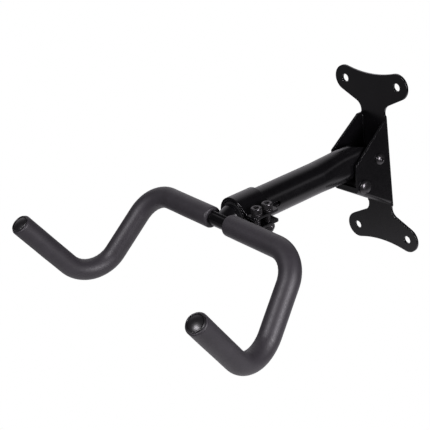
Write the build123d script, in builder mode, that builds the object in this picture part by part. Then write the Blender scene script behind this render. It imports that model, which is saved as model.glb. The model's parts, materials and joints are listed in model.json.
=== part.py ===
from build123d import *
import os
from math import cos, pi, radians, sin, tan

# Folding bicycle wall rack. Millimetres. The back of the wall plate lies in the plane Y = 0,
# the wall is on the +Y side and the arm reaches out along -Y. +X is to the right for someone
# who faces the wall, and +Z is up. The origin is the middle of the four wall holes.

# ---- driving dimensions -------------------------------------------------------------------
SHEET = 3.0                  # thickness of the plate, the channel and the clamp band
EDGE_R = 0.6                 # every cut edge of the sheet parts is broken by this radius

HOLE_SPACING_X = 84.0        # wall holes
HOLE_SPACING_Z = 200.0
WALL_HOLE_D = 10.0
EAR_R = 16.5                 # round ear about each wall hole
WING_WAIST_Z = 111.0         # height of the hollow in the plate's top edge
WING_SLOPE = 25.6            # degrees, slope of the edge from neck to ear
NECK_R = 12.0
NECK_HALF_WIDTH = 19.0       # the plate is a little narrower above and below the channel
NECK_STEP_Z = 59.0           # where it starts to narrow
NECK_STEP_RUN = 2.0
NECK_STEP_R = 1.2

CHANNEL_WIDTH = 41.0         # over the two flanges
CHANNEL_DEPTH = 59.0         # from the wall to the flanges' front edges
RIGHT_TOP_Z = 54.5           # where the right flange's sloping edge meets the plate
RIGHT_FRONT_Z = 13.7         # top of its front edge
LEFT_TOP_Z = 59.5            # the left flange stands taller, with a short level top
LEFT_TOP_FLAT = 10.0
LEFT_FRONT_Z = 27.5
FRONT_BOTTOM_Z = -22.5
WEB_SLOPE = 32.0             # degrees, the channel's floor falls towards the wall
LIP_HEIGHT = 7.5
BEND_R = 5.0                 # outside radius between floor and flanges
BEAD_LEG = 1.1               # small fillet beads that join the flanges to the plate
BEAD_END_GAPS = (6.0, 2.0)   # from the top of the right and of the left flange
BEAD_FLOOR_GAP = 4.0

AXIS_Z = 12.0                # height of the arm's centre line
TUBE_R = 19.0
TUBE_WALL = 2.0
TUBE_FRONT = 238.0           # distance of the tube's front end from the wall
FLAT_WIDTH = 31.2            # width of the tube where it is pressed flat for the pivot
FLAT_FROM = 70.0
ROUND_FROM = 108.0
SLIT_WIDTH = 6.5
SLIT_END = 182.0

PIVOT_Y = -18.0
PIVOT_Z = 10.0
PIVOT_R = 13.8               # radius of the tube's end about the pivot
HEEL_R = 24.0                # radius of its lower rear corner
FOLD_RANGE = 75.0            # degrees from level to folded up
SUPPORT_Y = -47.0
SUPPORT_SLEEVE_R = 7.5
SLEEVE_CHAMFER = 1.2
REST_GAP = 0.3               # between the tube's belly and the support sleeve

BOLT_R = 4.0                 # M8 throughout
BOLT_HOLE_R = 4.2
BOLT_CHAMFER = 1.0
THREAD_END = 3.0             # thread showing past each nut
BUTTON_R = 7.2               # pivot bolt: low button head with a hexagon socket
BUTTON_TOP_R = 3.7
BUTTON_RIM = 0.9
BUTTON_HEIGHT = 4.4
BUTTON_CURVE = 6.5
BUTTON_SOCKET_FLATS = 5.0
BUTTON_SOCKET_DEPTH = 2.8
DOME_R = 9.0                 # support bolt: plain domed head over a square neck
DOME_RIM = 0.8
DOME_HEIGHT = 5.4
SCREW_HEAD_R = 6.5           # clamp screws: tall heads with a hexagon socket
SCREW_HEAD_HEIGHT = 8.0
SCREW_HEAD_CHAMFER = 0.6
SCREW_SOCKET_FLATS = 6.0
SCREW_SOCKET_DEPTH = 4.2
WASHER_R = 8.0
WASHER_T = 1.6
NUT_FLATS = 13.0
NUT_CORNER_R = 7.25          # the hexagon's corners are turned off to this radius
NUT_HEX_HEIGHT = 5.6
NUT_COLLAR_R = 5.9
NUT_HEIGHT = 8.0
BUSH_R = 6.0
BUSH_BORE_R = 4.1
SPACER_T = 1.8
SPACER_R = 10.0

BAND_LENGTH = 36.0           # clamp band, flush with the tube's front end
BAND_R = TUBE_R + SHEET
EAR_GAP = 10.0
EAR_END = 38.1
EAR_CORNER_R = 3.5
EAR_BEND_R = 1.0             # inside radius of the bend between strap and ear
EAR_TANGENT = 50.0           # degrees round from the ears where the strap leaves the tube
CLAMP_BOLT_X = 31.6
CLAMP_BOLT_OFFSETS = (8.0, 24.0)   # from the band's front edge
CLAMP_ROLL = 4.0             # degrees, the ears hang down a little

CRADLE_ROLL = 4.0            # degrees, the cradle's right arm hangs lower than its left
CROSSBAR = 256.0             # distance of the crossbar's centre line from the wall
CRADLE_R = 8.0
CRADLE_WALL = 2.0
HALF_SPAN = 123.5
CORNER_R = 38.0
VALLEY_OUT, VALLEY_DOWN, VALLEY_AHEAD = 21.5, 99.5, 89.0
VALLEY_R = 39.0
TIP_OUT, TIP_UP, TIP_AHEAD = 34.0, 9.0, 165.5
FOAM_R = 12.7
FOAM_START = 14.5            # from the centre of the crossbar
PLUG_R = 10.9                # end plugs: a crowned cap with a rolled lip, on a spigot
PLUG_FACE_R = 9.1
PLUG_LIP = 1.5
PLUG_LIP_FLAT = 0.7
PLUG_FACE_EDGE = 0.8
PLUG_CROWN = 2.9
SPIGOT_LENGTH = 14.0
SPIGOT_TAPER = 2.0
SPIGOT_TIP_R = 5.2

STEM_R = 14.0
STEM_WALL = 2.0
STEM_INNER_END = 160.0
STEM_SHOULDER = 243.0        # where the stem's mouth starts to close on the crossbar
MOUTH_HALF_WIDTH = 12.0
MOUTH_HALF_HEIGHT = 8.6
STEM_FIT = 0.08              # radial clearance of the stem in its bush
BUSH_END = 178.0
BUSH_SPLIT = 4.0
WELD_R = 1.4
WELD_RISE = 0.8              # of the bead's centre above the crossbar

# ---- derived values -----------------------------------------------------------------------
half_channel = CHANNEL_WIDTH / 2
inner_half = half_channel - SHEET
half_x = HOLE_SPACING_X / 2
half_z = HOLE_SPACING_Z / 2
flat_height = FLAT_WIDTH + pi * (TUBE_R - FLAT_WIDTH / 2)   # the tube keeps its girth
support_z = AXIS_Z - flat_height / 2 - REST_GAP - SUPPORT_SLEEVE_R
web_thickness_z = SHEET / cos(radians(WEB_SLOPE))


def floor_z(y):
    """Height of the underside of the channel's sloping floor at a distance y from the wall."""
    return FRONT_BOTTOM_Z - (y + CHANNEL_DEPTH) * tan(radians(WEB_SLOPE))


def rolled_plane(distance, roll):
    """Plane across the arm's axis: local x is right, y is up, z points away from the wall."""
    turn = radians(roll)
    return Plane(origin=(0, -distance, AXIS_Z), x_dir=(cos(turn), 0, -sin(turn)), z_dir=(0, -1, 0))


def side_plane(x, y, z):
    """Plane across a bolt that runs along X: local z points to +X."""
    return Plane(origin=(x, y, z), x_dir=(0, 1, 0), z_dir=(1, 0, 0))


os.makedirs("parts", exist_ok=True)


def save(part, name):
    part.label = name
    export_step(part, f"parts/{name}.step")


# ---- wall plate ---------------------------------------------------------------------------
slope = radians(WING_SLOPE)
ear_low = (half_x + EAR_R * sin(slope), half_z - EAR_R * cos(slope))
neck_corner_z = ear_low[1] - (ear_low[0] - NECK_HALF_WIDTH) * tan(slope)
neck_top_z = NECK_STEP_Z + NECK_STEP_RUN
rise = WING_WAIST_Z - half_z
hollow_r = (half_x**2 + rise**2 - EAR_R**2) / (2 * (EAR_R - rise))
hollow_z = WING_WAIST_Z + hollow_r
reach = EAR_R / (EAR_R + hollow_r)
ear_top = (half_x * (1 - reach), half_z + (hollow_z - half_z) * reach)

with BuildPart() as wall_plate:
    with BuildSketch(Plane.XZ) as plate_outline:
        for up in (1, -1):
            with BuildLine():
                Polyline(
                    (half_channel, 0),
                    (half_channel, up * NECK_STEP_Z),
                    (NECK_HALF_WIDTH, up * neck_top_z),
                    (NECK_HALF_WIDTH, up * neck_corner_z),
                    (ear_low[0], up * ear_low[1]),
                    (half_x, up * half_z),
                    (ear_top[0], up * ear_top[1]),
                    (-ear_top[0], up * ear_top[1]),
                    (-half_x, up * half_z),
                    (-ear_low[0], up * ear_low[1]),
                    (-NECK_HALF_WIDTH, up * neck_corner_z),
                    (-NECK_HALF_WIDTH, up * neck_top_z),
                    (-half_channel, up * NECK_STEP_Z),
                    (-half_channel, 0),
                    close=True,
                )
            make_face()
            with Locations((0, up * hollow_z)):
                Circle(hollow_r, mode=Mode.SUBTRACT)
        with GridLocations(HOLE_SPACING_X, HOLE_SPACING_Z, 2, 2):
            Circle(EAR_R)
        for corner_z, radius in (
            (neck_corner_z, NECK_R),
            (neck_top_z, NECK_STEP_R),
            (NECK_STEP_Z, NECK_STEP_R),
        ):
            corners = plate_outline.vertices().filter_by(
                lambda v: abs(v.X) < half_channel + 0.1 and abs(abs(v.Y) - corner_z) < 0.1
            )
            fillet(corners, radius=radius)
        with GridLocations(HOLE_SPACING_X, HOLE_SPACING_Z, 2, 2):
            Circle(WALL_HOLE_D / 2, mode=Mode.SUBTRACT)
    extrude(amount=SHEET)
    fillet(wall_plate.faces().sort_by(Axis.Y)[0].edges(), radius=EDGE_R)
save(wall_plate.part, "wall_plate")

# ---- channel: two flanges, a sloping floor and a front lip, welded to the plate -------------
right_outline = [
    (-SHEET, RIGHT_TOP_Z),
    (-CHANNEL_DEPTH, RIGHT_FRONT_Z),
    (-CHANNEL_DEPTH, FRONT_BOTTOM_Z),
    (-SHEET, floor_z(-SHEET)),
]
left_outline = [
    (-SHEET, LEFT_TOP_Z),
    (-LEFT_TOP_FLAT, LEFT_TOP_Z),
    (-CHANNEL_DEPTH, LEFT_FRONT_Z),
    (-CHANNEL_DEPTH, FRONT_BOTTOM_Z),
    (-SHEET, floor_z(-SHEET)),
]
lip_back = -CHANNEL_DEPTH + SHEET
floor_outline = [
    (-CHANNEL_DEPTH, FRONT_BOTTOM_Z),
    (-CHANNEL_DEPTH, FRONT_BOTTOM_Z + LIP_HEIGHT),
    (lip_back, FRONT_BOTTOM_Z + LIP_HEIGHT),
    (lip_back, floor_z(lip_back) + web_thickness_z),
    (-SHEET, floor_z(-SHEET) + web_thickness_z),
    (-SHEET, floor_z(-SHEET)),
]

with BuildPart() as bracket_channel:
    for plane_x, width, outline in (
        (inner_half, SHEET, right_outline),
        (-half_channel, SHEET, left_outline),
        (-half_channel, CHANNEL_WIDTH, floor_outline),
    ):
        with BuildSketch(Plane.YZ.offset(plane_x)):
            with BuildLine():
                Polyline(*outline, close=True)
            make_face()
        extrude(amount=width)
    run = (0, cos(radians(WEB_SLOPE)), -sin(radians(WEB_SLOPE)))
    along_floor = bracket_channel.edges().filter_by(Axis((0, 0, 0), run))
    inside = along_floor.filter_by(lambda e: abs(abs(e.center().X) - inner_half) < 0.1)
    fillet(inside, radius=BEND_R - SHEET)
    along_floor = bracket_channel.edges().filter_by(Axis((0, 0, 0), run))
    outside = along_floor.filter_by(lambda e: abs(abs(e.center().X) - half_channel) < 0.1)
    fillet(outside, radius=BEND_R)
    for flange_x in (inner_half, -inner_half, half_channel, -half_channel):
        on_face = bracket_channel.edges().filter_by_position(Axis.X, flange_x, flange_x)
        cut_edges = on_face.filter_by(
            lambda e: e.center().Y < -SHEET - EDGE_R and abs(e.tangent_at(0).dot(Vector(*run))) < 0.99
        )
        fillet(cut_edges, radius=EDGE_R)
    with BuildSketch(side_plane(0, PIVOT_Y, PIVOT_Z)):
        Circle(BOLT_HOLE_R)
    extrude(amount=half_channel, both=True, mode=Mode.SUBTRACT)
    with BuildSketch(side_plane(0, SUPPORT_Y, support_z)):
        Rectangle(2 * BOLT_R, 2 * BOLT_R)
    extrude(amount=half_channel, mode=Mode.SUBTRACT)
    with BuildSketch(side_plane(0, SUPPORT_Y, support_z)):
        Circle(BOLT_HOLE_R)
    extrude(amount=-half_channel, mode=Mode.SUBTRACT)
save(bracket_channel.part, "bracket_channel")

# ---- weld beads inside the channel's two corners -------------------------------------------
with BuildPart() as channel_welds:
    bottom = floor_z(-SHEET) + web_thickness_z + BEAD_FLOOR_GAP
    for side, flange_top, end_gap in zip((1, -1), (RIGHT_TOP_Z, LEFT_TOP_Z), BEAD_END_GAPS):
        with BuildSketch(Plane.XY.offset(bottom)):
            with BuildLine():
                Polyline(
                    (side * inner_half, -SHEET),
                    (side * (inner_half - BEAD_LEG), -SHEET),
                    (side * inner_half, -SHEET - BEAD_LEG),
                    close=True,
                )
            make_face()
        extrude(amount=flange_top - end_gap - bottom)
save(channel_welds.part, "channel_welds")

# ---- pivot: button-head screw, washer, lock nut, bush and two spacers -----------------------
bolt_length = CHANNEL_WIDTH + WASHER_T + NUT_HEIGHT + THREAD_END


def tube_piece(plane, outer, inner, length):
    """A plain ring, washer, spacer or bush that stands on a plane."""
    with BuildPart() as ring:
        with BuildSketch(plane):
            Circle(outer)
            Circle(inner, mode=Mode.SUBTRACT)
        extrude(amount=length)
    return ring.part


def lock_nut(plane):
    """Hexagon nut with a round nylon collar at its outer end, standing on a plane."""
    with BuildPart() as nut:
        with BuildSketch(plane):
            RegularPolygon(NUT_FLATS / 2, 6, major_radius=False)
            Circle(NUT_CORNER_R, mode=Mode.INTERSECT)
        extrude(amount=NUT_HEX_HEIGHT)
        with BuildSketch(plane):
            Circle(NUT_COLLAR_R)
        extrude(amount=NUT_HEIGHT)
        with BuildSketch(plane):
            Circle(BOLT_R)
        extrude(amount=NUT_HEIGHT, mode=Mode.SUBTRACT)
    return nut.part


def nut_side(y, z, gap=0.0):
    """Plane that faces out of the left flange, a gap away from it."""
    return Plane(origin=(-half_channel - gap, y, z), x_dir=(0, 1, 0), z_dir=(-1, 0, 0))


with BuildPart() as pivot_bolt:
    head = side_plane(half_channel, PIVOT_Y, PIVOT_Z)
    with BuildSketch(head):
        Circle(BOLT_R)
    extrude(amount=-bolt_length)
    chamfer(pivot_bolt.faces().sort_by(Axis.X)[0].edges(), length=BOLT_CHAMFER)
    with BuildSketch(Plane(origin=head.origin, x_dir=(0, 1, 0), z_dir=(0, 0, 1))):
        with BuildLine():
            Line((0, 0), (BUTTON_R, 0))
            Line((BUTTON_R, 0), (BUTTON_R, -BUTTON_RIM))
            RadiusArc((BUTTON_R, -BUTTON_RIM), (BUTTON_TOP_R, -BUTTON_HEIGHT), BUTTON_CURVE)
            Line((BUTTON_TOP_R, -BUTTON_HEIGHT), (0, -BUTTON_HEIGHT))
            Line((0, -BUTTON_HEIGHT), (0, 0))
        make_face()
    revolve(axis=Axis(head.origin, (1, 0, 0)))
    with BuildSketch(head.offset(BUTTON_HEIGHT)):
        RegularPolygon(BUTTON_SOCKET_FLATS / 2, 6, major_radius=False)
    extrude(amount=-BUTTON_SOCKET_DEPTH, mode=Mode.SUBTRACT)
save(pivot_bolt.part, "pivot_bolt")

pivot_washer = tube_piece(nut_side(PIVOT_Y, PIVOT_Z), WASHER_R, BOLT_HOLE_R, WASHER_T)
save(pivot_washer, "pivot_washer")
save(lock_nut(nut_side(PIVOT_Y, PIVOT_Z, WASHER_T)), "pivot_nut")

tube_side = side_plane(-FLAT_WIDTH / 2, PIVOT_Y, PIVOT_Z)
save(tube_piece(tube_side, BUSH_R, BUSH_BORE_R, FLAT_WIDTH), "pivot_bush")

spacers = []
for seat in (tube_side.offset(FLAT_WIDTH), tube_side.offset(-SPACER_T)):
    spacers.append(tube_piece(seat, SPACER_R, BUSH_BORE_R, SPACER_T))
save(Compound(children=spacers), "pivot_spacers")

# ---- support bolt under the tube: domed head, square neck, sleeve, washer, lock nut ---------
with BuildPart() as support_bolt:
    head = side_plane(half_channel, SUPPORT_Y, support_z)
    with BuildSketch(Plane(origin=head.origin, x_dir=(0, 1, 0), z_dir=(0, 0, 1))):
        with BuildLine():
            Line((0, 0), (DOME_R, 0))
            Line((DOME_R, 0), (DOME_R, -DOME_RIM))
            TangentArc((0, -DOME_HEIGHT), (DOME_R, -DOME_RIM), tangent=(1, 0))
            Line((0, -DOME_HEIGHT), (0, 0))
        make_face()
    revolve(axis=Axis(head.origin, (1, 0, 0)))
    with BuildSketch(head):
        Rectangle(2 * BOLT_R, 2 * BOLT_R)
    extrude(amount=-SHEET)
    with BuildSketch(head):
        Circle(BOLT_R)
    extrude(amount=-bolt_length)
    chamfer(support_bolt.faces().sort_by(Axis.X)[0].edges(), length=BOLT_CHAMFER)
save(support_bolt.part, "support_bolt")

with BuildPart() as support_sleeve:
    with BuildSketch(side_plane(-inner_half, SUPPORT_Y, support_z)):
        Circle(SUPPORT_SLEEVE_R)
        Circle(BOLT_HOLE_R, mode=Mode.SUBTRACT)
    extrude(amount=2 * inner_half)
    rims = support_sleeve.edges().filter_by(GeomType.CIRCLE).sort_by(SortBy.RADIUS)[-2:]
    chamfer(rims, length=SLEEVE_CHAMFER)
save(support_sleeve.part, "support_sleeve")

support_washer = tube_piece(nut_side(SUPPORT_Y, support_z), WASHER_R, BOLT_HOLE_R, WASHER_T)
save(support_washer, "support_washer")
save(lock_nut(nut_side(SUPPORT_Y, support_z, WASHER_T)), "support_nut")

# ---- arm tube: round in front, pressed to a slot shape behind, cut back to clear the plate --
level = Plane(origin=(0, 0, AXIS_Z), x_dir=(1, 0, 0), z_dir=(0, -1, 0))
tube_rear = PIVOT_Y + PIVOT_R
cut = radians(90 - FOLD_RANGE)   # slope of the cut that lies along the plate when folded up
cut_end_z = PIVOT_Z + PIVOT_R * (1 - sin(cut)) / cos(cut)
above = AXIS_Z + 2 * TUBE_R      # clear of the tube
heel_z = -30.0                   # below the tube, so the heel's arc meets its belly early
cut_far_y = tube_rear - (above - cut_end_z) / tan(cut)

with BuildPart() as main_tube:
    for inset, mode in ((0, Mode.ADD), (TUBE_WALL, Mode.SUBTRACT)):
        with BuildSketch(level.offset(ROUND_FROM)):
            Circle(TUBE_R - inset)
        extrude(amount=TUBE_FRONT - ROUND_FROM, mode=mode)
        with BuildSketch(level.offset(FLAT_FROM)):
            SlotOverall(flat_height - 2 * inset, FLAT_WIDTH - 2 * inset, rotation=90)
        extrude(amount=-FLAT_FROM, mode=mode)
        with BuildSketch(level.offset(FLAT_FROM)):
            SlotOverall(flat_height - 2 * inset, FLAT_WIDTH - 2 * inset, rotation=90)
        with BuildSketch(level.offset(ROUND_FROM)):
            Circle(TUBE_R - inset)
        loft(mode=mode)
    with BuildSketch(Plane.YZ) as side_outline:
        with BuildLine():
            Polyline(
                (-TUBE_FRONT, above),
                (cut_far_y, above),
                (tube_rear, cut_end_z),
                (tube_rear, heel_z),
                (-TUBE_FRONT, heel_z),
                close=True,
            )
        make_face()
        heel, knee = side_outline.vertices().sort_by(Axis.X)[-2:].sort_by(Axis.Y)
        fillet(knee, radius=PIVOT_R)
        fillet(heel, radius=HEEL_R)
    extrude(amount=2 * TUBE_R, both=True, mode=Mode.INTERSECT)
    with BuildSketch(side_plane(0, PIVOT_Y, PIVOT_Z)):
        Circle(BUSH_R)
    extrude(amount=2 * TUBE_R, both=True, mode=Mode.SUBTRACT)
    with BuildSketch(Plane.YZ):
        with Locations((-TUBE_FRONT, AXIS_Z)):
            SlotCenterToCenter(2 * (TUBE_FRONT - SLIT_END) - SLIT_WIDTH, SLIT_WIDTH)
    extrude(amount=2 * TUBE_R, mode=Mode.SUBTRACT)
    front_rims = main_tube.faces().sort_by(Axis.Y)[0].edges().filter_by(GeomType.CIRCLE)
    fillet(front_rims, radius=EDGE_R)
save(main_tube.part, "main_tube")

# ---- clamp band with two ears, its screws, washers and nuts ---------------------------------
clamp_plane = rolled_plane(TUBE_FRONT, CLAMP_ROLL)
leave = radians(EAR_TANGENT)
ear_face = EAR_GAP / 2 + SHEET
head_seat = ear_face + WASHER_T
screw_length = 2 * head_seat + NUT_HEIGHT + THREAD_END


def strap_outline(radius, ear_height):
    """Half outline of the strap: from the tube's side out along a tangent to a level ear."""
    bend_x = (radius - ear_height * sin(leave)) / cos(leave)
    return [(0, 0), (radius * cos(leave), radius * sin(leave)), (bend_x, ear_height)]


with BuildPart() as clamp_band:
    with BuildSketch(clamp_plane) as band_section:
        for up in (1, -1):
            points = strap_outline(BAND_R, ear_face) + [(EAR_END, ear_face), (EAR_END, 0)]
            with BuildLine():
                Polyline(*[(x, up * y) for x, y in points], close=True)
            make_face()
        Circle(BAND_R)
        for up in (1, -1):
            points = strap_outline(TUBE_R, EAR_GAP / 2) + [(EAR_END, EAR_GAP / 2), (EAR_END, 0)]
            with BuildLine():
                Polyline(*[(x, up * y) for x, y in points], close=True)
            make_face(mode=Mode.SUBTRACT)
        Circle(TUBE_R, mode=Mode.SUBTRACT)
        for radius, ear_height, bend_r in (
            (BAND_R, ear_face, EAR_BEND_R),
            (TUBE_R, EAR_GAP / 2, EAR_BEND_R + SHEET),
        ):
            bend_x = strap_outline(radius, ear_height)[-1][0]
            bends = band_section.vertices().filter_by(lambda v: abs(v.X - bend_x) < 0.01)
            fillet(bends, radius=bend_r)
    extrude(amount=-BAND_LENGTH)
    ear_corners = clamp_band.edges().filter_by(Axis(clamp_plane.origin, clamp_plane.y_dir))
    fillet(ear_corners, radius=EAR_CORNER_R)
    front_arcs = clamp_band.edges().filter_by(GeomType.CIRCLE).group_by(Axis.Y)[0]
    fillet(front_arcs.sort_by(Edge.length)[-2:], radius=EDGE_R)   # runs on round the ears
    for offset in CLAMP_BOLT_OFFSETS:
        across = Plane(
            origin=clamp_plane.from_local_coords((CLAMP_BOLT_X, 0, -offset)),
            x_dir=(0, -1, 0),
            z_dir=clamp_plane.y_dir,
        )
        with BuildSketch(across):
            Circle(BOLT_HOLE_R)
        extrude(amount=2 * ear_face, both=True, mode=Mode.SUBTRACT)
save(clamp_band.part, "clamp_band")

screws, washers, nuts = [], [], []
for offset in CLAMP_BOLT_OFFSETS:
    centre = clamp_plane.from_local_coords((CLAMP_BOLT_X, 0, -offset))
    upward = Plane(origin=centre, x_dir=(0, -1, 0), z_dir=clamp_plane.y_dir)
    downward = Plane(origin=centre, x_dir=(0, -1, 0), z_dir=-clamp_plane.y_dir)
    with BuildPart() as screw:
        with BuildSketch(upward.offset(head_seat)):
            Circle(SCREW_HEAD_R)
        extrude(amount=SCREW_HEAD_HEIGHT)
        chamfer(screw.faces().sort_by(Axis.Z)[-1].edges(), length=SCREW_HEAD_CHAMFER)
        with BuildSketch(upward.offset(head_seat + SCREW_HEAD_HEIGHT)):
            RegularPolygon(SCREW_SOCKET_FLATS / 2, 6, major_radius=False)
        extrude(amount=-SCREW_SOCKET_DEPTH, mode=Mode.SUBTRACT)
        with BuildSketch(upward.offset(head_seat)):
            Circle(BOLT_R)
        extrude(amount=-screw_length)
        chamfer(screw.faces().sort_by(Axis.Z)[0].edges(), length=BOLT_CHAMFER)
    screws.append(screw.part)
    for seat in (upward.offset(ear_face), downward.offset(ear_face)):
        washers.append(tube_piece(seat, EAR_END - CLAMP_BOLT_X, BOLT_HOLE_R, WASHER_T))
    nuts.append(lock_nut(downward.offset(head_seat)))
save(Compound(children=screws), "clamp_screws")
save(Compound(children=washers), "clamp_washers")
save(Compound(children=nuts), "clamp_nuts")

# ---- split bush between the arm tube and the stem -------------------------------------------
with BuildPart() as stem_bush:
    with BuildSketch(level.offset(BUSH_END)):
        Circle(TUBE_R - TUBE_WALL)
        Circle(STEM_R + STEM_FIT, mode=Mode.SUBTRACT)
        with Locations((TUBE_R, 0)):
            Rectangle(2 * TUBE_R, BUSH_SPLIT, mode=Mode.SUBTRACT)
    extrude(amount=TUBE_FRONT - BUSH_END)
save(stem_bush.part, "stem_bush")

# ---- cradle: stem, bent crossbar with both arms, weld, foam sleeves and end plugs -----------
cradle_plane = rolled_plane(CROSSBAR, CRADLE_ROLL)


def arm_points(side):
    """Corner, valley and tip of one arm in the cradle's own axes: right, up, ahead."""
    return [
        (side * HALF_SPAN, 0, 0),
        (side * (HALF_SPAN + VALLEY_OUT), -VALLEY_DOWN, VALLEY_AHEAD),
        (side * (HALF_SPAN + TIP_OUT), TIP_UP, TIP_AHEAD),
    ]


def in_cradle(points):
    return [cradle_plane.from_local_coords(point) for point in points]


with BuildPart() as cradle_tube:
    with BuildLine() as cradle_path:
        FilletPolyline(
            *in_cradle(arm_points(-1)[::-1] + arm_points(1)),
            radius=[VALLEY_R, CORNER_R, CORNER_R, VALLEY_R],
        )
    with BuildSketch(Plane(origin=cradle_path.line @ 0, z_dir=cradle_path.line % 0)):
        Circle(CRADLE_R)
        Circle(CRADLE_R - CRADLE_WALL, mode=Mode.SUBTRACT)
    sweep(path=cradle_path.line)
save(cradle_tube.part, "cradle_tube")

for side, name in ((-1, "left"), (1, "right")):
    with BuildPart() as foam_sleeve:
        with BuildLine() as sleeve_path:
            FilletPolyline(
                *in_cradle([(side * FOAM_START, 0, 0)] + arm_points(side)),
                radius=[CORNER_R, VALLEY_R],
            )
        with BuildSketch(Plane(origin=sleeve_path.line @ 0, z_dir=sleeve_path.line % 0)):
            Circle(FOAM_R)
            Circle(CRADLE_R, mode=Mode.SUBTRACT)
        sweep(path=sleeve_path.line)
    save(foam_sleeve.part, f"foam_sleeve_{name}")

    tip = Plane(origin=sleeve_path.line @ 1, z_dir=sleeve_path.line % 1)
    with BuildPart() as end_plug:
        with BuildSketch(Plane(origin=tip.origin, x_dir=tip.x_dir, z_dir=tip.y_dir)):
            with BuildLine():
                Polyline(
                    (0, SPIGOT_LENGTH),
                    (SPIGOT_TIP_R, SPIGOT_LENGTH),
                    (CRADLE_R - CRADLE_WALL, SPIGOT_LENGTH - SPIGOT_TAPER),
                    (CRADLE_R - CRADLE_WALL, 0),
                    (PLUG_R, 0),
                    (PLUG_R, -PLUG_LIP_FLAT),
                )
                ThreePointArc(
                    (PLUG_R, -PLUG_LIP_FLAT),
                    ((PLUG_R + PLUG_FACE_R) / 2, -PLUG_LIP),
                    (PLUG_FACE_R, -PLUG_FACE_EDGE),
                )
                TangentArc((0, -PLUG_CROWN), (PLUG_FACE_R, -PLUG_FACE_EDGE), tangent=(1, 0))
                Line((0, -PLUG_CROWN), (0, SPIGOT_LENGTH))
            make_face()
        revolve(axis=Axis(tip.origin, tip.z_dir))
    save(end_plug.part, f"end_plug_{name}")

stem_level = rolled_plane(0, CRADLE_ROLL)
bar_end_on = Plane(origin=cradle_plane.origin, x_dir=(0, 1, 0), z_dir=cradle_plane.x_dir)

with BuildPart() as stem_tube:
    for inset, mode in ((0, Mode.ADD), (STEM_WALL, Mode.SUBTRACT)):
        with BuildSketch(stem_level.offset(STEM_INNER_END)):
            Circle(STEM_R - inset)
        extrude(amount=STEM_SHOULDER - STEM_INNER_END, mode=mode)
        with BuildSketch(stem_level.offset(STEM_SHOULDER)):
            Circle(STEM_R - inset)
        with BuildSketch(stem_level.offset(CROSSBAR)):
            Ellipse(MOUTH_HALF_WIDTH - inset, MOUTH_HALF_HEIGHT - inset)
        loft(mode=mode)
    with BuildSketch(bar_end_on):
        Circle(CRADLE_R)
    extrude(amount=STEM_R, both=True, mode=Mode.SUBTRACT)
save(stem_tube.part, "stem_tube")

# a bead round the joint: along the top and bottom of the crossbar and down behind it
bead_r = CRADLE_R + WELD_RISE
bead_half = FOAM_START - WELD_R - 0.1
with BuildPart() as stem_weld:
    for side in (1, -1):
        with BuildSketch(bar_end_on.offset(-bead_half)):
            with Locations((0, side * bead_r)):
                Circle(WELD_R)
        extrude(amount=2 * bead_half)
        with Locations(bar_end_on.offset(side * bead_half)):
            Torus(bead_r, WELD_R)
    with BuildSketch(bar_end_on):
        Circle(CRADLE_R)
        with Locations((-WELD_R, 0)):
            Rectangle(CROSSBAR, CROSSBAR, align=(Align.MAX, Align.CENTER))
    extrude(amount=2 * bead_half, both=True, mode=Mode.SUBTRACT)
    add(stem_tube.part, mode=Mode.SUBTRACT)
save(stem_weld.part, "stem_weld")
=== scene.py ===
import json
from math import cos, pi, radians, sin, sqrt

import bmesh
import bpy
from mathutils import Matrix, Vector, noise


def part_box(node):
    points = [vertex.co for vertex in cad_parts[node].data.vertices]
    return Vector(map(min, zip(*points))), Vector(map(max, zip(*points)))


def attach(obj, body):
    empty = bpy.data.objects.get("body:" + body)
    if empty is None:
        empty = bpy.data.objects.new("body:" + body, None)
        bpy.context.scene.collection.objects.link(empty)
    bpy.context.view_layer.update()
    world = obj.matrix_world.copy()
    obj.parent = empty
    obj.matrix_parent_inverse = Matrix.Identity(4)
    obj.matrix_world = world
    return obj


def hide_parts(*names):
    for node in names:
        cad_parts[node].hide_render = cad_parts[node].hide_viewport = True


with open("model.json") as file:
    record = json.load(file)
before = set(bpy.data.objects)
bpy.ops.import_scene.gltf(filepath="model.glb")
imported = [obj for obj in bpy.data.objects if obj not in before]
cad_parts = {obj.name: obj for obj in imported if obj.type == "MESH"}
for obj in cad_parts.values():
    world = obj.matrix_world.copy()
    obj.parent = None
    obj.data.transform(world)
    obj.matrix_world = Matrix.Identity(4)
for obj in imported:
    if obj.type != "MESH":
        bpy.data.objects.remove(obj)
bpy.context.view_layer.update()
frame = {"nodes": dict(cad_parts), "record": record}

# Folding bicycle wall rack. Metres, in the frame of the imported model: the wall plate's back face
# lies in the plane Y = 0, the arm reaches out along -Y, +X is right and +Z is up.

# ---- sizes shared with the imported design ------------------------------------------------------
AXIS_Z = 0.012                         # height of the arm's axis
ROLL = radians(4.0)                    # of the cradle and of the clamp about the arm's axis
CROSSBAR_Y = -0.256
BAR_R = 0.008                          # the bent tube under the foam
HALF_SPAN = 0.1235                     # from the arm's axis to a corner of the crossbar
CORNER_R = 0.038
VALLEY = (0.0215, -0.0995, 0.089)      # from a corner to the low bend: out, up and ahead
VALLEY_R = 0.039
TIP = (0.034, 0.009, 0.1655)           # from a corner to the sleeve's end: out, up and ahead
FOAM_R = 0.0127
FOAM_START = 0.0145                    # from the arm's axis to the sleeve's inner end
TUBE_FRONT_Y = -0.238
HALF_CHANNEL = 0.0205
CHANNEL_WELD_TOP = 0.0465              # upper end of the right flange's weld
PIVOT_Y, PIVOT_Z = -0.018, 0.010
SUPPORT_Y = -0.047
BOLT_R = 0.004                         # M8 throughout
BOLT_PITCH = 0.00125
WASHER_T = 0.0016
WASHER_R = 0.008
NUT_FLATS = 0.013
NUT_HEX = 0.0056                       # height of a nut's hexagon, below its collar
NUT_HEIGHT = 0.008
THREAD_END = 0.003                     # thread that stands out of a nut
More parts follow.
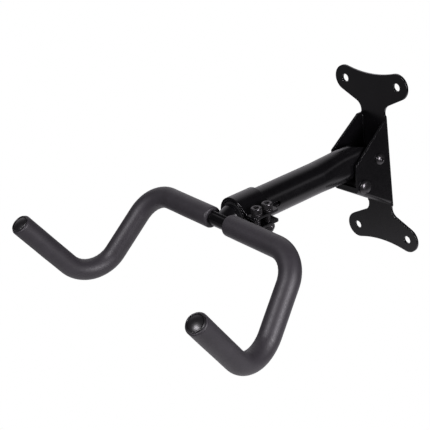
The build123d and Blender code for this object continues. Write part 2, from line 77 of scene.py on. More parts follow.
THREAD_LENGTH = 0.020                  # cut thread of the two long bolts
CLAMP_BOLT_X = 0.0316
CLAMP_BOLT_OFFSETS = (0.008, 0.024)    # behind the arm tube's front end
EAR_FACE = 0.008                       # from the clamp's middle plane to an ear's outer face
EAR_WASHER_R = 0.0065
SLIP = 0.00003                         # a visible shank is this much thinner, all round


# ---- mesh helpers -----------------------------------------------------------------------------
def new_piece(name, vertices, faces, material, smooth_angle=35.0):
    """A mesh object with one material, smooth except across edges sharper than smooth_angle."""
    mesh = bpy.data.meshes.new(name)
    mesh.from_pydata([tuple(v) for v in vertices], [], faces)
    mesh.validate()
    work = bmesh.new()
    work.from_mesh(mesh)
    bmesh.ops.recalc_face_normals(work, faces=work.faces)
    work.to_mesh(mesh)
    work.free()
    mesh.update()
    piece = bpy.data.objects.new(name, mesh)
    bpy.context.scene.collection.objects.link(piece)
    mesh.materials.append(material)
    mesh.shade_smooth()
    mesh.set_sharp_from_angle(angle=radians(smooth_angle))
    return piece


def bridge(first, second, count):
    """Quads between two rings of the same count, which start at the given vertex numbers."""
    faces = []
    for i in range(count):
        j = (i + 1) % count
        faces.append((first + i, first + j, second + j, second + i))
    return faces


def lathe_mesh(stations, place, count, loop):
    """Vertices and faces of rings about local Z. A station is (height, radius or f(angle))."""
    vertices, faces = [], []
    for height, radius in stations:
        for i in range(count):
            angle = 2 * pi * i / count
            r = radius(angle) if callable(radius) else radius
            vertices.append(place @ Vector((r * cos(angle), r * sin(angle), height)))
    rings = len(stations)
    for k in range(rings - 1):
        faces += bridge(k * count, (k + 1) * count, count)
    if loop:
        faces += bridge((rings - 1) * count, 0, count)
    else:
        faces.append(tuple(range(count))[::-1])
        faces.append(tuple((rings - 1) * count + i for i in range(count)))
    return vertices, faces


def join(name, parts, material, smooth_angle=35.0):
    """One piece from several (vertices, faces) pairs."""
    vertices, faces = [], []
    for part_vertices, part_faces in parts:
        start = len(vertices)
        vertices += part_vertices
        faces += [tuple(start + i for i in face) for face in part_faces]
    return new_piece(name, vertices, faces, material, smooth_angle)


def rounded(points, radius, steps=4):
    """A profile of (radius, height) points with each inner corner rounded."""
    out = [points[0]]
    for before, corner, after in zip(points, points[1:], points[2:]):
        a, b, c = Vector(before), Vector(corner), Vector(after)
        into, away = (a - b), (c - b)
        size = min(radius, 0.45 * into.length, 0.45 * away.length)
        start, end = b + into.normalized() * size, b + away.normalized() * size
        for k in range(steps + 1):
            t = k / steps
            out.append(tuple((1 - t) ** 2 * start + 2 * t * (1 - t) * b + t * t * end))
    out.append(points[-1])
    return out


def place_on(origin, z_axis, x_axis):
    """Matrix that puts local Z along z_axis and local X near x_axis."""
    z = Vector(z_axis).normalized()
    y = z.cross(Vector(x_axis)).normalized()
    x = y.cross(z)
    matrix = Matrix((x, y, z)).transposed().to_4x4()
    matrix.translation = origin
    return matrix


def hexagon(flats):
    """Radius of a hexagon of that width across flats, as a function of the angle."""
    def radius(angle):
        return flats / 2 / cos((angle + pi / 6) % (pi / 3) - pi / 6)
    return radius


# ---- the cradle's own axes, and smooth paths in them ------------------------------------------
cradle_axes = place_on((0, CROSSBAR_Y, AXIS_Z), (0, -1, 0), (cos(ROLL), 0, -sin(ROLL)))
clamp_axes = place_on((0, TUBE_FRONT_Y, AXIS_Z), (0, -1, 0), (cos(ROLL), 0, -sin(ROLL)))


def in_cradle(right, up, ahead):
    """A point given in the cradle's own axes, from the middle of its crossbar."""
    return cradle_axes @ Vector((right, up, ahead))


def rounded_path(points, radii, spacing=0.0025):
    """Evenly stepped points along straight runs joined by tangent arcs."""
    path = [points[0]]

    def straight_to(end):
        start = path[-1]
        steps = max(1, round((end - start).length / spacing))
        for k in range(1, steps + 1):
            path.append(start.lerp(end, k / steps))

    for before, corner, after, radius in zip(points, points[1:], points[2:], radii):
        into = (before - corner).normalized()
        away = (after - corner).normalized()
        half = into.angle(away) / 2
        cut = radius / (sin(half) / cos(half))
        centre = corner + (into + away).normalized() * radius / sin(half)
        start, end = corner + into * cut, corner + away * cut
        straight_to(start)
        turn = pi - 2 * half
        steps = max(8, round(radius * turn / spacing))
        arm = start - centre
        axis = arm.cross(end - centre).normalized()
        for k in range(1, steps + 1):
            path.append(centre + Matrix.Rotation(turn * k / steps, 3, axis) @ arm)
    straight_to(points[-1])
    return path


def carried_frames(path):
    """(point, tangent, across, up, distance) along a path, without twist."""
    frames = []
    across = None
    distance = 0.0
    for i, point in enumerate(path):
        ahead = path[min(i + 1, len(path) - 1)]
        behind = path[max(i - 1, 0)]
        tangent = (ahead - behind).normalized()
        if across is None:
            across = tangent.orthogonal().normalized()
        else:
            across = (across - tangent * across.dot(tangent)).normalized()
            distance += (point - path[i - 1]).length
        frames.append((point, tangent, across, tangent.cross(across), distance))
    return frames


# ---- materials --------------------------------------------------------------------------------
class Shader:
    """A new material with a Principled shader, and short calls to add nodes to it."""

    def __init__(self, name):
        self.material = bpy.data.materials.new(name)
        self.material.use_nodes = True
        self.tree = self.material.node_tree
        self.tree.nodes.clear()
        output = self.tree.nodes.new("ShaderNodeOutputMaterial")
        self.surface = self.tree.nodes.new("ShaderNodeBsdfPrincipled")
        self.link(self.surface.outputs[0], output.inputs["Surface"])
        self.place = self.tree.nodes.new("ShaderNodeTexCoord").outputs["Object"]

    def link(self, out, into):
        self.tree.links.new(out, into)

    def fixed(self, **values):
        """Uniform values, set on the shader's own sockets."""
        for name, value in values.items():
            self.surface.inputs[name.replace("_", " ")].default_value = value

    def noise(self, scale, detail=2.0, roughness=0.5, distortion=0.0):
        node = self.tree.nodes.new("ShaderNodeTexNoise")
        node.inputs["Scale"].default_value = scale
        node.inputs["Detail"].default_value = detail
        node.inputs["Roughness"].default_value = roughness
        node.inputs["Distortion"].default_value = distortion
        self.link(self.place, node.inputs["Vector"])
        return node.outputs["Fac"]

    def cells(self, scale):
        """Distance to the nearest of many scattered points."""
        node = self.tree.nodes.new("ShaderNodeTexVoronoi")
        node.inputs["Scale"].default_value = scale
        self.link(self.place, node.inputs["Vector"])
        return node.outputs["Distance"]

    def spread(self, fac, low, high, start=0.3, end=0.7):
        """Maps a factor between start and end to the range from low to high."""
        node = self.tree.nodes.new("ShaderNodeMapRange")
        self.link(fac, node.inputs["Value"])
        for name, value in (("From Min", start), ("From Max", end), ("To Min", low), ("To Max", high)):
            node.inputs[name].default_value = value
        return node.outputs["Result"]

    def colours(self, fac, *stops):
        """Colour ramp over (position, colour) stops."""
        node = self.tree.nodes.new("ShaderNodeValToRGB")
        ramp = node.color_ramp
        while len(ramp.elements) < len(stops):
            ramp.elements.new(0.5)
        for element, (position, colour) in zip(ramp.elements, stops):
            element.position = position
            element.color = (*colour, 1.0)
        self.link(fac, node.inputs["Fac"])
        return node.outputs["Color"]

    def bump(self, height, distance, strength=1.0, under=None):
        node = self.tree.nodes.new("ShaderNodeBump")
        node.inputs["Distance"].default_value = distance
        node.inputs["Strength"].default_value = strength
        self.link(height, node.inputs["Height"])
        if under is not None:
            self.link(under, node.inputs["Normal"])
        return node.outputs["Normal"]

    def finish(self, colour=None, roughness=None, normal=None):
        for out, name in ((colour, "Base Color"), (roughness, "Roughness"), (normal, "Normal")):
            if out is not None:
                self.link(out, self.surface.inputs[name])
        return self.material


def powder_coat():
    """Satin black powder coat: an orange-peel skin with fine grain and slightly uneven gloss."""
    s = Shader("powder_coat_black")
    s.fixed(Specular_IOR_Level=0.5)
    mottle = s.noise(45.0, 4.0, 0.6)
    colour = s.colours(mottle, (0.3, (0.0018, 0.0017, 0.0021)), (0.75, (0.0034, 0.0032, 0.0038)))
    roughness = s.spread(s.noise(260.0, 3.0), 0.21, 0.27)
    peel = s.bump(s.noise(420.0, 2.0), 0.00003, 0.25)
    grain = s.bump(s.noise(2600.0, 1.0), 0.000004, 0.4, under=peel)
    return s.finish(colour, roughness, grain)


def black_oxide():
    """Oiled black oxide on machined steel: dark, metallic, with faint streaks and pits."""
    s = Shader("black_oxide_steel")
    s.fixed(Metallic=0.88, Specular_IOR_Level=0.5)
    streaks = s.noise(900.0, 5.0, 0.65)
    colour = s.colours(streaks, (0.3, (0.050, 0.048, 0.050)), (0.7, (0.090, 0.087, 0.090)))
    roughness = s.spread(s.noise(1500.0, 3.0), 0.20, 0.32)
    turned = s.bump(s.noise(3800.0, 2.0), 0.000004, 0.5)
    return s.finish(colour, roughness, turned)


def foam():
    """Closed-cell foam with a fine matt skin: broad soft sheen, faint mottling, tiny pores."""
    s = Shader("foam_charcoal")
    s.fixed(Specular_IOR_Level=0.5, Sheen_Weight=0.06, Sheen_Roughness=0.5)
    mottle = s.noise(70.0, 5.0, 0.6)
    colour = s.colours(mottle, (0.3, (0.0215, 0.0190, 0.0228)), (0.72, (0.0305, 0.0274, 0.0325)))
    roughness = s.spread(s.noise(600.0, 3.0), 0.44, 0.55)
    skin = s.bump(s.noise(1500.0, 3.0, 0.6), 0.00004, 0.5)
    pores = s.bump(s.spread(s.cells(2400.0), 0.0, 1.0, 0.05, 0.35), 0.00002, 0.4, under=skin)
    return s.finish(colour, roughness, pores)


def satin_plastic():
    """Satin black moulded plastic with faint handling haze."""
    s = Shader("plug_plastic_gloss")
    s.fixed(Specular_IOR_Level=0.55, Coat_Weight=0.10, Coat_Roughness=0.25)
    mottle = s.noise(120.0, 3.0)
    colour = s.colours(mottle, (0.3, (0.0055, 0.0050, 0.0057)), (0.7, (0.0090, 0.0083, 0.0093)))
    roughness = s.spread(s.noise(420.0, 4.0, 0.6), 0.31, 0.38)
    normal = s.bump(s.noise(160.0, 2.0), 0.000005, 0.3)
    return s.finish(colour, roughness, normal)


def nylon():
    """Matte black nylon of the bushes, spacers and the support sleeve."""
    s = Shader("nylon_black")
    s.fixed(Specular_IOR_Level=0.4)
    mottle = s.noise(150.0, 4.0)
    colour = s.colours(mottle, (0.3, (0.013, 0.0128, 0.0135)), (0.7, (0.022, 0.0215, 0.0225)))
    roughness = s.spread(s.noise(700.0, 3.0), 0.45, 0.62)
    normal = s.bump(s.noise(2200.0, 2.0), 0.00002, 0.6)
    return s.finish(colour, roughness, normal)


COAT = powder_coat()
OXIDE = black_oxide()
FOAM = foam()
PLUG = satin_plastic()
NYLON = nylon()
SLOT_MATERIALS = {
    "powder_coat": COAT,
    "black_oxide": OXIDE,
    "foam_rubber": FOAM,
    "plug_plastic": PLUG,
    "black_nylon": NYLON,
}


def dress_cad_nodes():
    """Every CAD node takes the material of its slot in the record."""
    for row in frame["record"]["subparts"]:
        node = frame["nodes"][row["node"]]
        node.data.materials.clear()
        node.data.materials.append(SLOT_MATERIALS[row["material_slot"]])


def stands_for(piece, node, body):
    """The piece rides on the body and replaces the CAD node, which is hidden."""
    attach(piece, body)
    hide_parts(node)


# ---- foam sleeves and end plugs ---------------------------------------------------------------
SLEEVE_COUNT = 72                      # vertices round a sleeve
SLEEVE_END_R = 0.0022                  # rounding of a sleeve's cut ends
SLEEVE_END_STEPS = (0.03, 0.10, 0.22, 0.38, 0.60, 0.85)
SLEEVE_INSET = 0.0001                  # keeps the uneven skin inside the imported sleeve
SLEEVE_SWELL = 0.00016                 # how uneven the foam's skin is
SWELL_SCALE = 38.0                     # lumps per metre, roughly
SLEEVE_PLEAT = 0.00010                 # depth of the faint pleats inside each bend
PLEAT_PITCH = 0.0072
PLEAT_REACH = 3                        # rings each way over which a bend is measured
FULL_BEND = 0.4                        # change of direction over them that gives full pleats
SLEEVE_BORE_GAP = 0.00002
SLEEVE_MOUTH = 0.0004                  # widening of the bore at both ends


def sleeve_radius(frames, i, across_direction):
    """Outer radius of the foam: a little uneven, and faintly pleated inside the bends."""
    point, distance = frames[i][0], frames[i][4]
    length = frames[-1][4]
    last = len(frames) - 1
    bend = frames[min(i + PLEAT_REACH, last)][1] - frames[max(i - PLEAT_REACH, 0)][1]
    inward = max(0.0, bend.dot(across_direction)) / FULL_BEND
    swell = SLEEVE_SWELL * noise.noise((point + across_direction * FOAM_R) * SWELL_SCALE)
    pleat = SLEEVE_PLEAT * inward * sin(2 * pi * distance / PLEAT_PITCH)
    radius = FOAM_R - SLEEVE_INSET + swell + pleat
    to_end = min(distance, length - distance)
    if to_end < SLEEVE_END_R:
        radius -= SLEEVE_END_R - sqrt(SLEEVE_END_R ** 2 - (SLEEVE_END_R - to_end) ** 2)
    return radius


def end_dense(path):
    """The path with extra points close to its ends, where the sleeve's rim is rounded."""
    first = (path[1] - path[0]).normalized()
    last = (path[-2] - path[-1]).normalized()
    head = [path[0]] + [path[0] + first * SLEEVE_END_R * f for f in SLEEVE_END_STEPS]
    tail = [path[-1] + last * SLEEVE_END_R * f for f in SLEEVE_END_STEPS[::-1]] + [path[-1]]
    return head + path[1:-1] + tail


def ring(frame_here, radius):
    """Points round one place of a path, at a radius that may depend on the direction."""
    point, tangent, across, up, distance = frame_here
    points = []
    for k in range(SLEEVE_COUNT):
        angle = 2 * pi * k / SLEEVE_COUNT
        direction = across * cos(angle) + up * sin(angle)
        points.append(point + direction * (radius(direction) if callable(radius) else radius))
    return points


def foam_sleeve(side, name):
    """A thick-walled sleeve on one arm of the cradle. Returns its outer end and the way it faces."""
    corner = in_cradle(side * HALF_SPAN, 0, 0)
    valley = in_cradle(side * (HALF_SPAN + VALLEY[0]), VALLEY[1], VALLEY[2])
    tip = in_cradle(side * (HALF_SPAN + TIP[0]), TIP[1], TIP[2])
    path = rounded_path([in_cradle(side * FOAM_START, 0, 0), corner, valley, tip], (CORNER_R, VALLEY_R))
    frames = carried_frames(end_dense(path))
    vertices, faces = [], []
    for i, here in enumerate(frames):
        vertices += ring(here, lambda direction: sleeve_radius(frames, i, direction))
    bore = BAR_R + SLEEVE_BORE_GAP
    for i, here in enumerate(frames[::-1]):
        at_end = i in (0, len(frames) - 1)
        vertices += ring(here, bore + SLEEVE_MOUTH if at_end else bore)
    rings = 2 * len(frames)
    for k in range(rings):
        faces += bridge(k * SLEEVE_COUNT, (k + 1) % rings * SLEEVE_COUNT, SLEEVE_COUNT)
    piece = new_piece(f"foam_{name}", vertices, faces, FOAM, 50.0)
    stands_for(piece, f"foam_sleeve_{name}", "cradle")
    return frames[-1][0], frames[-1][1]


def end_plug(name, tip, outward):
    """A crowned cap inside a rolled lip, seated on the sleeve's end, on a ribbed spigot."""
    crown_r, crown_top, crown_edge, crown_steps = 0.0208, 0.0029, 0.0088, 24
    groove_depth = 0.0006
    lip_middle, lip_r, lip_height, lip_steps = 0.0100, 0.0009, 0.0007, 16
    spigot_r, root_r, rib_pitch, rib_count = 0.0059, 0.0054, 0.0022, 5

    def crown_height(across):
        return crown_top - crown_r + sqrt(crown_r ** 2 - across ** 2)

    profile = []
    for k in range(crown_steps + 1):
        across = crown_edge * k / crown_steps
        profile.append((across, crown_height(across)))
    groove = crown_height(crown_edge) - groove_depth
    profile += [(crown_edge + 0.0001, groove + 0.0001), (crown_edge + 0.0003, groove)]
    for k in range(lip_steps + 1):
        turn = pi * (1 - k / lip_steps)
        profile.append((lip_middle + lip_r * cos(turn), lip_height + lip_r * sin(turn)))
    profile += [(0.0109, 0.0002), (0.0107, 0.0), (0.0060, 0.0)]
    spigot = [(0.0060, -0.0006)]
    for rib in range(rib_count):
        base = -0.0012 - rib_pitch * rib
        spigot += [(spigot_r, base), (root_r, base - 0.0004), (root_r, base - 0.0016)]
    spigot += [(0.0050, -0.0136), (0.0044, -0.0140), (0.0, -0.0140)]
    profile += rounded(spigot, 0.0003, 2)
    place = place_on(tip, outward, (0, 0, 1))
    stations = [(height, max(radius, 0.00002)) for radius, height in profile]
    piece = join(f"plug_{name}", [lathe_mesh(stations, place, 96, False)], PLUG, 50.0)
    stands_for(piece, f"end_plug_{name}", "cradle")


# ---- fasteners --------------------------------------------------------------------------------
THREAD_DEPTH = 0.00062
THREAD_RUN_IN, THREAD_RUN_OUT = 0.001, 0.0006
RINGS_PER_TURN = 10
TIP_CHAMFER = 0.0009


def thread_radius(height, near, far):
    """Radius of a coarse metric thread between two heights, faded out at both ends."""
    fade = min(1.0, max(0.0, (height - near) / THREAD_RUN_IN), max(0.0, (far - height) / THREAD_RUN_OUT))
    depth = THREAD_DEPTH * fade

    def radius(angle):
        turn = (height / BOLT_PITCH - angle / (2 * pi)) % 1.0
        flank = abs(2 * turn - 1)          # the crests and the roots are cut a little flat
        return BOLT_R - SLIP - depth * min(1.0, max(0.0, 1.25 * flank - 0.12))
    return radius


def threaded_shank(start, end, thread_from):
    """Stations of a shank from start up to end, with a cut thread from thread_from to its tip."""
    stations = [(start, BOLT_R - SLIP)]
    length = end - TIP_CHAMFER - thread_from
    steps = round(length / (BOLT_PITCH / RINGS_PER_TURN))
    for k in range(steps + 1):
        height = thread_from + length * k / steps
        stations.append((height, thread_radius(height, thread_from, end)))
    stations.append((end - 0.5 * TIP_CHAMFER, BOLT_R - 0.0007))
    stations.append((end, BOLT_R - 0.0011))
    return stations


def lock_nut(place):
    """Hexagon with turned corners, a flange-side chamfer and a nylon collar, bored through."""
    hex_radius = hexagon(NUT_FLATS)

    def turned(limit):
        return lambda angle: min(hex_radius(angle), limit)

    bore = BOLT_R + 0.00002
    stations = [
        (0.0, BOLT_R + 0.0006),
        (0.0, 0.0062),
        (0.0002, turned(0.00665)),
        (0.0007, turned(0.0071)),
        (0.0011, turned(0.00745)),
        (NUT_HEX - 0.0012, turned(0.00745)),
        (NUT_HEX - 0.0007, turned(0.0071)),
        (NUT_HEX - 0.0002, turned(0.0066)),
        (NUT_HEX, 0.0062),
        (NUT_HEX + 0.0002, 0.0059),
        (NUT_HEIGHT - 0.0009, 0.0058),
        (NUT_HEIGHT - 0.0003, 0.0055),
        (NUT_HEIGHT, 0.0050),
        (NUT_HEIGHT, 0.0045),
        (NUT_HEIGHT - 0.0005, bore),
        (0.0006, bore),
    ]
    return lathe_mesh(stations, place, 96, True)


def flat_washer(place, outer):
    """Pressed washer with a rolled upper edge."""
    inner, edge = 0.0042, 0.00035
    stations = [
        (0.0, inner),
        (0.0, outer - 0.0002),
        (0.0002, outer),
        (WASHER_T - edge, outer),
        (WASHER_T - 0.4 * edge, outer - 0.25 * edge),
        (WASHER_T, outer - edge),
        (WASHER_T, inner + 0.0002),
        (WASHER_T - 0.0002, inner),
    ]
    return lathe_mesh(stations, place, 72, True)


def socket_stations(flats, depth, top, mouth_r):
    """Stations down into a hexagon socket and across its floor, which is a shallow cone."""
    wall = hexagon(flats)
    return [
        (top, mouth_r),
        (top - 0.0002, lambda a: wall(a) + 0.00015),
        (top - 0.0006, wall),
        (top - depth, wall),
        (top - depth - 0.0006, flats * 0.30),
        (top - depth - 0.0012, 0.00005),
    ]


def cap_screw(place, seat, tip):
    """Tall socket-head screw with a straight-knurled head. Heights run along local Z."""
    head_r, head_height, ridges = 0.0065, 0.008, 36

    def knurl(base, depth):
        return lambda angle: base - depth * abs(((angle * ridges / (2 * pi)) % 1.0) * 2 - 1)

    top = seat + head_height
    stations = threaded_shank(-seat + 0.001, -tip, -seat + 0.004)
    stations = [(-height, radius) for height, radius in stations[::-1]]
    stations += [
        (seat, BOLT_R),
        (seat, head_r - 0.0007),
        (seat + 0.0003, head_r - 0.00035),
        (seat + 0.0011, head_r - 0.00035),
        (seat + 0.0014, knurl(head_r, 0.0)),
        (seat + 0.0016, knurl(head_r, 0.00038)),
        (top - 0.0016, knurl(head_r, 0.00038)),
        (top - 0.0013, knurl(head_r - 0.0001, 0.0001)),
        (top - 0.0010, head_r - 0.0002),
        (top - 0.0004, head_r - 0.0005),
        (top, head_r - 0.0012),
        (top, 0.0041),
    ]
    stations += socket_stations(0.006, 0.0042, top, 0.00395)
    return lathe_mesh(stations, place, 144, False)


def make_clamp_hardware():
    """The two screws through the clamp's ears, with their washers and nuts."""
    up = clamp_axes.to_3x3() @ Vector((0, 1, 0))
    ahead = clamp_axes.to_3x3() @ Vector((0, 0, 1))
    seat = EAR_FACE + WASHER_T
    tip = -(seat + NUT_HEIGHT + THREAD_END)
    screws, washers, nuts = [], [], []
    for offset in CLAMP_BOLT_OFFSETS:
        centre = clamp_axes @ Vector((CLAMP_BOLT_X, 0, -offset))
        upward = place_on(centre, up, ahead)
        downward = place_on(centre, -up, ahead)
        screws.append(cap_screw(upward, seat, tip))
        for place in (upward, downward):
            washers.append(flat_washer(place @ Matrix.Translation((0, 0, EAR_FACE)), EAR_WASHER_R))
        nuts.append(lock_nut(downward @ Matrix.Translation((0, 0, seat))))
    stands_for(join("knurled_clamp_screws", screws, OXIDE, 28.0), "clamp_screws", "arm")
    stands_for(join("pressed_clamp_washers", washers, OXIDE), "clamp_washers", "arm")
    stands_for(join("clamp_lock_nuts", nuts, OXIDE), "clamp_nuts", "arm")


def button_head():
    """Stations of a low button head with a hexagon socket. Heights run out from the flange."""
    top = 0.0044
    outside = [
        (0.0, BOLT_R),
        (0.0, 0.0069),
        (0.0002, 0.0071),
        (0.0009, 0.00718),
        (0.0017, 0.0070),
        (0.0026, 0.0063),
        (0.0034, 0.0053),
        (0.0040, 0.0043),
        (0.00433, 0.0036),
        (top, 0.0032),
    ]
    return outside + socket_stations(0.005, 0.0028, top, 0.00305)


def domed_head():
    """Stations of a plain domed head. Heights run out from the flange."""
    base, top, dome_r, steps = 0.0010, 0.0054, 0.00895, 14
    stations = [(0.0, BOLT_R), (0.0, 0.0087), (0.0002, 0.0089), (0.0007, 0.0090), (base, dome_r)]
    for k in range(1, steps + 1):
        turn = pi / 2 * k / steps
        stations.append((base + (top - base) * sin(turn), max(dome_r * cos(turn), 0.00005)))
    return stations


def make_bracket_hardware():
    """Pivot bolt and support bolt with their washers and nuts, heads on the right flange."""
    support_z = (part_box("support_bolt")[0].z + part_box("support_bolt")[1].z) / 2
    length = 2 * HALF_CHANNEL + WASHER_T + NUT_HEIGHT + THREAD_END
    shank = threaded_shank(0.0, length, length - THREAD_LENGTH)
    bolts = (
        ("pivot", PIVOT_Y, PIVOT_Z, button_head()),
        ("support", SUPPORT_Y, support_z, domed_head()),
    )
    for name, y, z, head in bolts:
        right = place_on((HALF_CHANNEL, y, z), (1, 0, 0), (0, 1, 0))
        left = place_on((-HALF_CHANNEL, y, z), (-1, 0, 0), (0, 1, 0))
        stations = [(-height, radius) for height, radius in shank[::-1]] + head
        bolt = join(f"{name}_bolt_turned", [lathe_mesh(stations, right, 96, False)], OXIDE, 28.0)
        stands_for(bolt, f"{name}_bolt", "bracket")
        washer = join(f"{name}_washer_pressed", [flat_washer(left, WASHER_R)], OXIDE)
        stands_for(washer, f"{name}_washer", "bracket")
        nut = join(f"{name}_lock_nut", [lock_nut(left @ Matrix.Translation((0, 0, WASHER_T)))], OXIDE)
        stands_for(nut, f"{name}_nut", "bracket")


# ---- weld beads -------------------------------------------------------------------------------
def bead(path, radius, ripple, pitch, count):
    """Vertices and faces of a weld bead: overlapping scales along a path, with rounded ends."""
    frames = carried_frames(path)
    length = frames[-1][4]
    vertices, faces = [], []
    for point, tangent, across, up, distance in frames:
        scale = 1 - ripple * abs(sin(pi * distance / pitch)) ** 2
        ends = min(1.0, min(distance, length - distance) / radius + 0.05)
        r = radius * scale * sqrt(max(0.0, 1 - (1 - ends) ** 2))
        for k in range(count):
            angle = 2 * pi * k / count
            vertices.append(point + (across * cos(angle) + up * sin(angle)) * r)
    for k in range(len(frames) - 1):
        faces += bridge(k * count, (k + 1) * count, count)
    faces.append(tuple(range(count))[::-1])
    faces.append(tuple((len(frames) - 1) * count + k for k in range(count)))
    return vertices, faces


def make_stem_weld():
    """Beads where the stem closes onto the crossbar: along its top and bottom, and round its sides."""
    half_width, reach, ahead = 0.0130, BAR_R + 0.0007, 0.0006
    bead_r, ripple, pitch, count = 0.0013, 0.10, 0.0020, 20
    step, arc_steps = 0.00022, 120
    beads = []
    for side in (1, -1):
        start = in_cradle(-side * half_width, side * reach, ahead)
        end = in_cradle(side * half_width, side * reach, ahead)
        beads.append(bead(rounded_path([start, end], (), step), bead_r, ripple, pitch, count))
        arc = []
        for k in range(arc_steps + 1):
            turn = pi / 2 - pi * k / arc_steps
            arc.append(in_cradle(side * half_width, reach * sin(turn), -reach * cos(turn) + ahead))
        beads.append(bead(arc, bead_r, ripple, pitch, count))
    stands_for(join("stem_weld_bead", beads, COAT, 60.0), "stem_weld", "cradle")


def make_channel_welds():
    """Beads in the corners between the channel's flanges and the wall plate."""
    sink, end_gap, step = 0.0004, 0.001, 0.0004
    bead_r, ripple, pitch, count = 0.0012, 0.12, 0.0024, 16
    low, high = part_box("channel_welds")
    y = high.y - sink
    beads = []
    for x, top in ((high.x - sink, CHANNEL_WELD_TOP), (low.x + sink, high.z)):
        line = [Vector((x, y, low.z + end_gap)), Vector((x, y, top - end_gap))]
        beads.append(bead(rounded_path(line, (), step), bead_r, ripple, pitch, count))
    stands_for(join("channel_weld_beads", beads, COAT, 60.0), "channel_welds", "bracket")


# ---- camera, floor and light ------------------------------------------------------------------
CAMERA_TARGET = Vector((0.0, -0.26318, 0.0226))
CAMERA_AZIMUTH = radians(53.19)
CAMERA_ELEVATION = radians(23.15)
CAMERA_ROLL = radians(-8.03)
CAMERA_DISTANCE = 1.29313
CAMERA_LENS = 97.2

SEEN_WHITE = (1.0, 1.0, 1.0, 1.0)
LIGHT_TINT = (1.0, 0.965, 1.02)        # the studio's light is a little violet
BACKDROP_LIGHT = 0.72
ROOM_LIGHT = 0.03
BACKDROP_DIRECTION = (-0.74, 0.56, 0.37)
BACKDROP_EDGE = (0.66, 0.98)           # cosines from its direction: where it fades out and is full
FLOOR_Z = -0.42
FLOOR_HALF = 12.0
FLOOR_LIGHT = 0.75
FLOOR_LIT_R = 0.38                     # the floor throws light upwards within this radius
FLOOR_DARK_R = 0.86
FLOOR_FAR_LIGHT = 0.05
FLOOR_SIDE = (-0.8, -0.6, 0.0)         # the far floor is a little lighter this way
FLOOR_SIDE_EDGE = (0.3, 0.8)           # metres that way: where it starts and is full
FLOOR_SIDE_LIGHT = 0.17


def make_camera():
    """Camera at the photograph's viewing angle, rolled a little about its own axis."""
    back = Vector((
        sin(CAMERA_AZIMUTH) * cos(CAMERA_ELEVATION),
        -cos(CAMERA_AZIMUTH) * cos(CAMERA_ELEVATION),
        sin(CAMERA_ELEVATION),
    ))
    level = Vector((cos(CAMERA_AZIMUTH), sin(CAMERA_AZIMUTH), 0.0))
    upright = back.cross(level)
    right = cos(CAMERA_ROLL) * level + sin(CAMERA_ROLL) * upright
    up = -sin(CAMERA_ROLL) * level + cos(CAMERA_ROLL) * upright
    data = bpy.data.cameras.new("camera")
    data.lens = CAMERA_LENS
    data.sensor_width = 36.0
    data.clip_start, data.clip_end = 0.05, 60.0
    camera = bpy.data.objects.new("camera", data)
    matrix = Matrix((right, up, back)).transposed().to_4x4()
    matrix.translation = CAMERA_TARGET + back * CAMERA_DISTANCE
    camera.matrix_world = matrix
    bpy.context.scene.collection.objects.link(camera)
    bpy.context.scene.camera = camera
    bpy.context.scene.view_settings.view_transform = "Standard"


def seen_or_lit(tree, seen, lit, output):
    """Camera rays meet one shader, and light and reflections meet the other."""
    path = tree.nodes.new("ShaderNodeLightPath")
    mix = tree.nodes.new("ShaderNodeMixShader")
    tree.links.new(path.outputs["Is Camera Ray"], mix.inputs["Fac"])
    tree.links.new(lit.outputs[0], mix.inputs[1])
    tree.links.new(seen.outputs[0], mix.inputs[2])
    tree.links.new(mix.outputs[0], output.inputs["Surface"])


def faded(tree, value, start, end, low, high):
    """Smooth change from low at the start value to high at the end value."""
    node = tree.nodes.new("ShaderNodeMapRange")
    node.interpolation_type = "SMOOTHSTEP"
    for name, number in (("From Min", start), ("From Max", end), ("To Min", low), ("To Max", high)):
        node.inputs[name].default_value = number
    tree.links.new(value, node.inputs["Value"])
    return node.outputs["Result"]


def make_floor():
    """White to the eye. It lights the rack from below only near the rack, like a small table."""
    material = bpy.data.materials.new("floor_white")
    material.use_nodes = True
    tree = material.node_tree
    tree.nodes.clear()
    output = tree.nodes.new("ShaderNodeOutputMaterial")
    seen = tree.nodes.new("ShaderNodeEmission")
    seen.inputs["Color"].default_value = SEEN_WHITE
    lit = tree.nodes.new("ShaderNodeEmission")
    lit.inputs["Color"].default_value = (*LIGHT_TINT, 1.0)
    place = tree.nodes.new("ShaderNodeTexCoord")
    level = tree.nodes.new("ShaderNodeVectorMath")
    level.operation = "MULTIPLY"
    level.inputs[1].default_value = (1.0, 1.0, 0.0)
    radius = tree.nodes.new("ShaderNodeVectorMath")
    radius.operation = "LENGTH"
    tree.links.new(place.outputs["Object"], level.inputs[0])
    tree.links.new(level.outputs["Vector"], radius.inputs[0])
    glow = faded(tree, radius.outputs["Value"], FLOOR_LIT_R, FLOOR_DARK_R, FLOOR_LIGHT, FLOOR_FAR_LIGHT)
    side = tree.nodes.new("ShaderNodeVectorMath")
    side.operation = "DOT_PRODUCT"
    side.inputs[1].default_value = FLOOR_SIDE
    tree.links.new(place.outputs["Object"], side.inputs[0])
    far = faded(tree, side.outputs["Value"], *FLOOR_SIDE_EDGE, FLOOR_FAR_LIGHT, FLOOR_SIDE_LIGHT)
    tree.links.new(far, glow.node.inputs["To Max"])
    tree.links.new(glow, lit.inputs["Strength"])
    seen_or_lit(tree, seen, lit, output)
    corners = ((-1, -1), (1, -1), (1, 1), (-1, 1))
    vertices = [(x * FLOOR_HALF, y * FLOOR_HALF, FLOOR_Z) for x, y in corners]
    new_piece("floor", vertices, [(0, 1, 2, 3)], material)


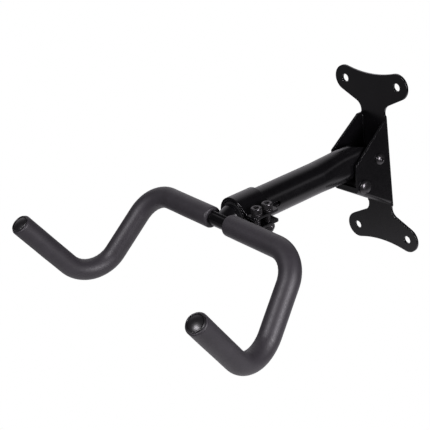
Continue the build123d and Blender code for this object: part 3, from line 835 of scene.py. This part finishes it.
def area_light(name, position, aim, size, power):
    """A rectangular light at a position, which faces the aim."""
    data = bpy.data.lights.new(name, "AREA")
    data.shape = "RECTANGLE"
    data.size, data.size_y = size
    data.energy = power
    data.color = LIGHT_TINT
    light = bpy.data.objects.new(name, data)
    direction = Vector(aim) - Vector(position)
    light.matrix_world = Matrix.LocRotScale(Vector(position), direction.to_track_quat("-Z", "Y"), None)
    bpy.context.scene.collection.objects.link(light)


def make_world():
    """White to the eye. Light and reflections see a bright screen behind the rack, in a dim room."""
    world = bpy.data.worlds.new("studio")
    bpy.context.scene.world = world
    world.use_nodes = True
    tree = world.node_tree
    tree.nodes.clear()
    output = tree.nodes.new("ShaderNodeOutputWorld")
    seen = tree.nodes.new("ShaderNodeBackground")
    seen.inputs["Color"].default_value = SEEN_WHITE
    lit = tree.nodes.new("ShaderNodeBackground")
    lit.inputs["Color"].default_value = (*LIGHT_TINT, 1.0)
    place = tree.nodes.new("ShaderNodeTexCoord")
    behind = tree.nodes.new("ShaderNodeVectorMath")
    behind.operation = "DOT_PRODUCT"
    behind.inputs[1].default_value = BACKDROP_DIRECTION
    tree.links.new(place.outputs["Generated"], behind.inputs[0])
    glow = faded(tree, behind.outputs["Value"], *BACKDROP_EDGE, ROOM_LIGHT, BACKDROP_LIGHT)
    tree.links.new(glow, lit.inputs["Strength"])
    seen_or_lit(tree, seen, lit, output)


def make_lights():
    """Two softboxes, one on the right and one above the front, and a weak fill from behind."""
    middle = Vector((0.05, -0.28, 0.0))
    for name, direction, distance, size, power in (
        ("right_softbox", (0.97, 0.05, 0.24), 1.5, (0.5, 0.8), 24.0),
        ("front_softbox", (0.06, -0.77, 0.63), 1.5, (0.5, 0.28), 15.0),
        ("rear_fill", (0.70, 0.61, 0.38), 1.7, (0.7, 0.4), 0.45),
    ):
        area_light(name, middle + Vector(direction).normalized() * distance, middle, size, power)


dress_cad_nodes()
for arm_side, arm_name in ((-1, "left"), (1, "right")):
    arm_tip, arm_outward = foam_sleeve(arm_side, arm_name)
    end_plug(arm_name, arm_tip, arm_outward)
make_clamp_hardware()
make_bracket_hardware()
make_stem_weld()
make_channel_welds()
make_camera()
make_floor()
make_world()
make_lights()
